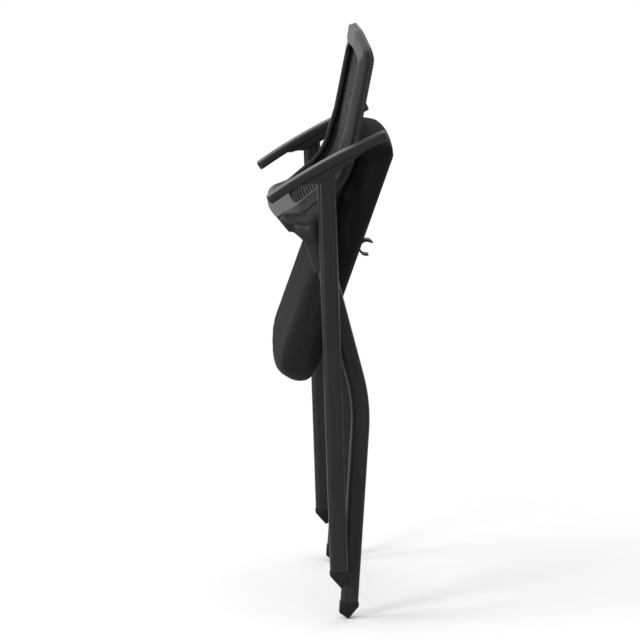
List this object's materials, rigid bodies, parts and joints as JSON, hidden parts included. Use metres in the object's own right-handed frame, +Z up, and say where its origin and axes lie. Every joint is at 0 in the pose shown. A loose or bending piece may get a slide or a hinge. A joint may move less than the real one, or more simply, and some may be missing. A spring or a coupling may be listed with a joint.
{
  "type": "folding nesting chair",
  "caption": "Folding office chair in black with an open mesh back, curved arm pads, a padded flip-up seat and oval-tube leg frames that cross at a pivot on each side.",
  "frame": {"origin": "centre of the folded chair's footprint, at the height of the front feet's lowest edge", "axes": "+Z up, +X the way the sitter faces, +Y to the sitter's left; the chair is folded and standing as in the picture"},
  "size_m": [0.2299, 0.56, 1.0352],
  "materials": {
    "leg_black": "satin",
    "bar_black": "satin",
    "plastic_black": "fine grain, satin",
    "pad_black": "soft skinned polyurethane, fine grain",
    "foot_black": "matte",
    "mesh_black": "ribbed knit",
    "cover_black": "plain woven cover",
    "bolt_black": "black oxide",
    "steel": "plain zinc",
    "bush_white": "plain acetal",
    "plywood": "sanded"
  },
  "bodies": {
    "rear_frame": {"rear_leg_left": "leg_black", "rear_leg_right": "leg_black", "rear_foot_left": "foot_black", "rear_foot_right": "foot_black", "rear_crossbar": "bar_black", "arm_bracket_left": "plastic_black", "arm_bracket_right": "plastic_black", "arm_pad_left": "pad_black", "arm_pad_right": "pad_black", "arm_screws": "bolt_black", "pivot_bolts": "bolt_black", "pivot_inserts": "steel", "pivot_spacers": "plastic_black"},
    "front_frame": {"front_leg_left": "leg_black", "front_leg_right": "leg_black", "front_foot_left": "foot_black", "front_foot_right": "foot_black", "front_crossbar": "bar_black", "back_arm_left": "plastic_black", "back_arm_right": "plastic_black", "back_frame": "plastic_black", "back_carrier": "mesh_black", "back_mesh": "mesh_black", "back_screws": "bolt_black", "pivot_bushes": "bush_white"},
    "seat": {"seat_pan": "plastic_black", "seat_board": "plywood", "seat_cushion": "cover_black", "seat_hinges": "plastic_black", "seat_clips": "plastic_black", "seat_screws": "bolt_black"}
  },
  "joints": [
    {"name": "fold", "type": "hinge", "parent": "rear_frame", "child": "front_frame", "pos_m": [-0.00464, 0, 0.6129], "axis": [0, -1, 0], "range_deg": [0, 64.5]},
    {"name": "seat_hinge", "type": "hinge", "parent": "rear_frame", "child": "seat", "pos_m": [0.00367, 0, 0.4831], "axis": [0, 1, 0], "range_deg": [0, 36]}
  ],
  "couplings": [
    {"joint": "seat_hinge", "follows": "fold", "ratio": 0.55814}
  ]
}
